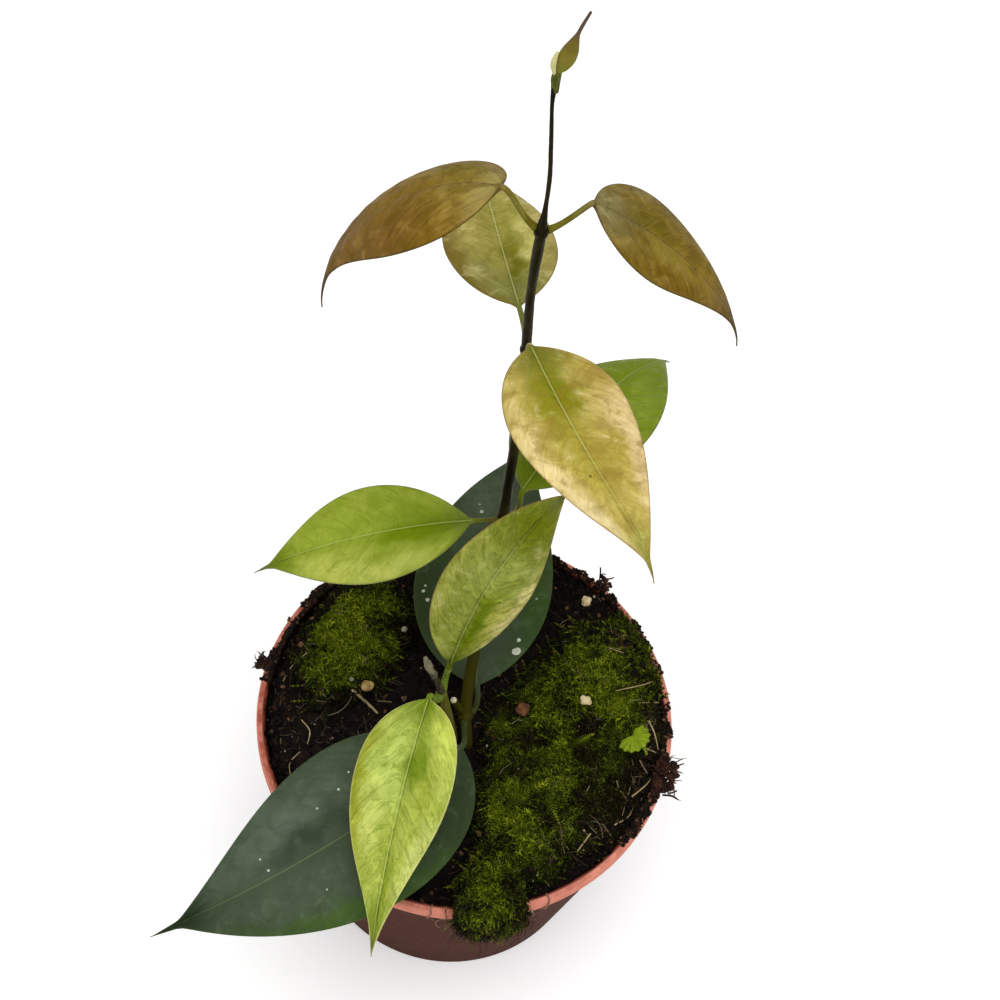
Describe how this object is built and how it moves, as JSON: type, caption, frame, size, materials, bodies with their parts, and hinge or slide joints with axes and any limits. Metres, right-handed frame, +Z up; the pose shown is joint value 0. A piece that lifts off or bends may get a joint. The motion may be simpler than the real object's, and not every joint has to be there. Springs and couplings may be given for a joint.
{
  "type": "potted climbing plant",
  "caption": "Young climbing wax plant with pointed leaves in pairs on a tall thin shoot, rooted in mossy peat in a round plastic nursery pot.",
  "frame": {"origin": "centre of the pot's flat underside", "axes": "+Z up along the pot's axis and the shoot, -Y towards the plant's front, where the two lowest leaves hang over the lip, +X to the right"},
  "size_m": [0.145, 0.186, 0.3423],
  "materials": {
    "pot_plastic": "satin",
    "peat": "matte",
    "moss": "matte",
    "stem": "satin",
    "leaf_dark": "satin",
    "leaf_lime": "satin",
    "leaf_mottled": "satin",
    "leaf_green": "satin",
    "leaf_cream": "satin",
    "leaf_olive": "satin",
    "leaf_bronze": "satin",
    "leaf_young": "satin",
    "weed": "satin",
    "grit": "matte",
    "husk": "matte",
    "bark": "matte"
  },
  "bodies": {
    "root": {"pot": "pot_plastic", "soil": "peat", "moss_left": "moss", "moss_right": "moss", "main_stem": "stem", "second_stem": "stem", "leaf_dark_front": "leaf_dark", "leaf_dark_back": "leaf_dark", "leaf_lime_front": "leaf_lime", "leaf_mottled_upright": "leaf_mottled", "leaf_green_left": "leaf_green", "leaf_green_right": "leaf_green", "leaf_cream": "leaf_cream", "leaf_olive_back": "leaf_olive", "leaf_bronze_left": "leaf_bronze", "leaf_bronze_right": "leaf_bronze", "bud_leaf_large": "leaf_young", "bud_leaf_small": "leaf_young", "seedling": "weed", "chip_right": "grit", "chip_left": "grit", "chip_moss": "grit", "husk": "husk", "bark_chip": "bark", "crumb_left": "peat", "crumb_right": "peat", "crumb_back": "peat"}
  },
  "joints": []
}
